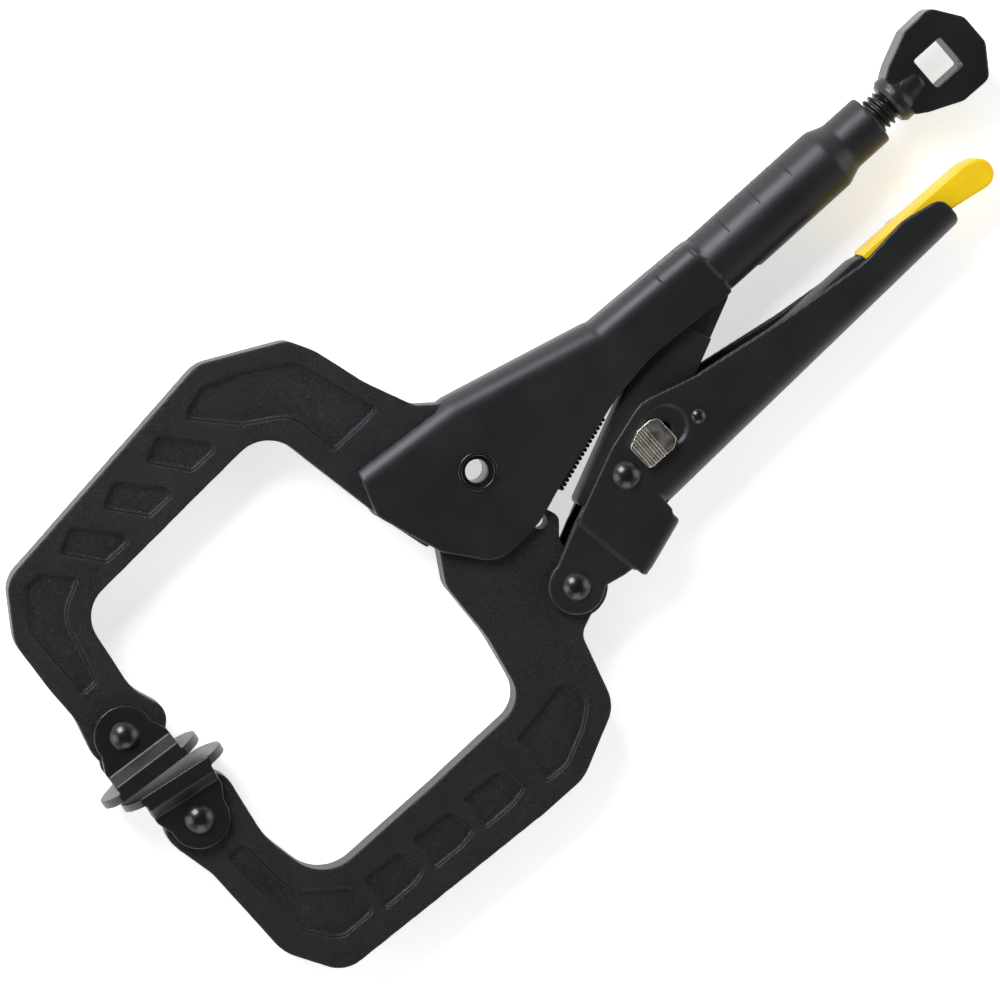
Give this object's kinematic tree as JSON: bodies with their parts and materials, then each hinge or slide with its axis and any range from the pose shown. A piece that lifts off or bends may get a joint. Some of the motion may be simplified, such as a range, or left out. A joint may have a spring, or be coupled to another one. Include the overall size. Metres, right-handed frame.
{
  "type": "locking c clamp",
  "caption": "Locking C clamp with forged C arms, swivel pads, a toggle-linked handle, release lever, thumb lock and a screw with a square-holed ring head.",
  "frame": {"origin": "on the axis of the main pivot's hollow rivet, at mid thickness of the clamp", "axes": "+X along the adjusting screw towards its ring head, +Y from the lower handle towards the upper body, +Z along the pivots, out of the face that shows the thumb lock"},
  "size_m": [0.2935, 0.1432, 0.0212],
  "materials": {
    "sheet_black": "smooth satin black on folded sheet steel",
    "forged_black": "grainy satin black over a blasted forging",
    "rivet_black": "glossy black rivet heads",
    "grip_yellow": "yellow dipped grip",
    "button_silver": "plain bright plated steel",
    "thread_black": "black oxide thread, worn on the crests",
    "ring_black": "grainy black on a forged head",
    "spring_steel": "dark drawn wire",
    "pad_black": "satin black pressed steel"
  },
  "bodies": {
    "body": {"upper_shell": "sheet_black", "fixed_jaw": "forged_black", "pivot_tube": "rivet_black", "return_spring": "spring_steel", "upper_pad_rivet": "rivet_black"},
    "movable_jaw": {"movable_jaw": "forged_black", "lower_pad_rivet": "rivet_black"},
    "lower_handle": {"lower_handle": "sheet_black", "handle_pivot_rivet": "rivet_black", "toggle_rivet": "rivet_black", "lever_rivet": "rivet_black"},
    "toggle_link": {"toggle_link": "sheet_black"},
    "release_lever": {"release_lever": "sheet_black", "lever_grip": "grip_yellow"},
    "lock_button": {"lock_button": "button_silver", "lock_stem": "button_silver", "lock_plate": "sheet_black"},
    "adjusting_screw": {"adjusting_screw": "thread_black"},
    "drive_ring": {"drive_ring": "ring_black"},
    "upper_pad": {"upper_pad": "pad_black"},
    "lower_pad": {"lower_pad": "pad_black"}
  },
  "joints": [
    {"name": "jaw_pivot", "type": "hinge", "parent": "body", "child": "movable_jaw", "pos_m": [0, 0, 0], "axis": [0, 0, 1], "range_deg": [0, 18], "deforming": ["return_spring"]},
    {"name": "handle_pivot", "type": "hinge", "parent": "movable_jaw", "child": "lower_handle", "pos_m": [-0.0005, -0.0386, 0], "axis": [0, 0, 1], "range_deg": [-57.5, 0]},
    {"name": "link_pivot", "type": "hinge", "parent": "lower_handle", "child": "toggle_link", "pos_m": [0.02735, -0.02593, 0], "axis": [0, 0, 1], "range_deg": [0, 62.5]},
    {"name": "lever_pivot", "type": "hinge", "parent": "lower_handle", "child": "release_lever", "pos_m": [0.0507, -0.027, 0], "axis": [0, 0, 1], "range_deg": [0, 6]},
    {"name": "lock_slide", "type": "slide", "parent": "lower_handle", "child": "lock_button", "axis": [1, 0, 0], "range_m": [0, 0.0045]},
    {"name": "screw_feed", "type": "slide", "parent": "body", "child": "adjusting_screw", "axis": [1, 0, 0], "range_m": [0, 0.032]},
    {"name": "ring_spin", "type": "hinge", "parent": "adjusting_screw", "child": "drive_ring", "pos_m": [0.1434, -0.0016, 0], "axis": [1, 0, 0], "range_deg": [0, 7257]},
    {"name": "upper_pad_swivel", "type": "hinge", "parent": "body", "child": "upper_pad", "pos_m": [-0.1096, 0.01, 0], "axis": [0, 0, 1], "range_deg": [-12, 4]},
    {"name": "lower_pad_swivel", "type": "hinge", "parent": "movable_jaw", "child": "lower_pad", "pos_m": [-0.1095, -0.018, 0], "axis": [0, 0, 1], "range_deg": [-4, 12]}
  ],
  "couplings": [
    {"joint": "handle_pivot", "follows": "jaw_pivot", "ratio": -3.189},
    {"joint": "link_pivot", "follows": "jaw_pivot", "ratio": 3.468},
    {"joint": "ring_spin", "follows": "screw_feed", "rad_per_m": 3957.9}
  ]
}
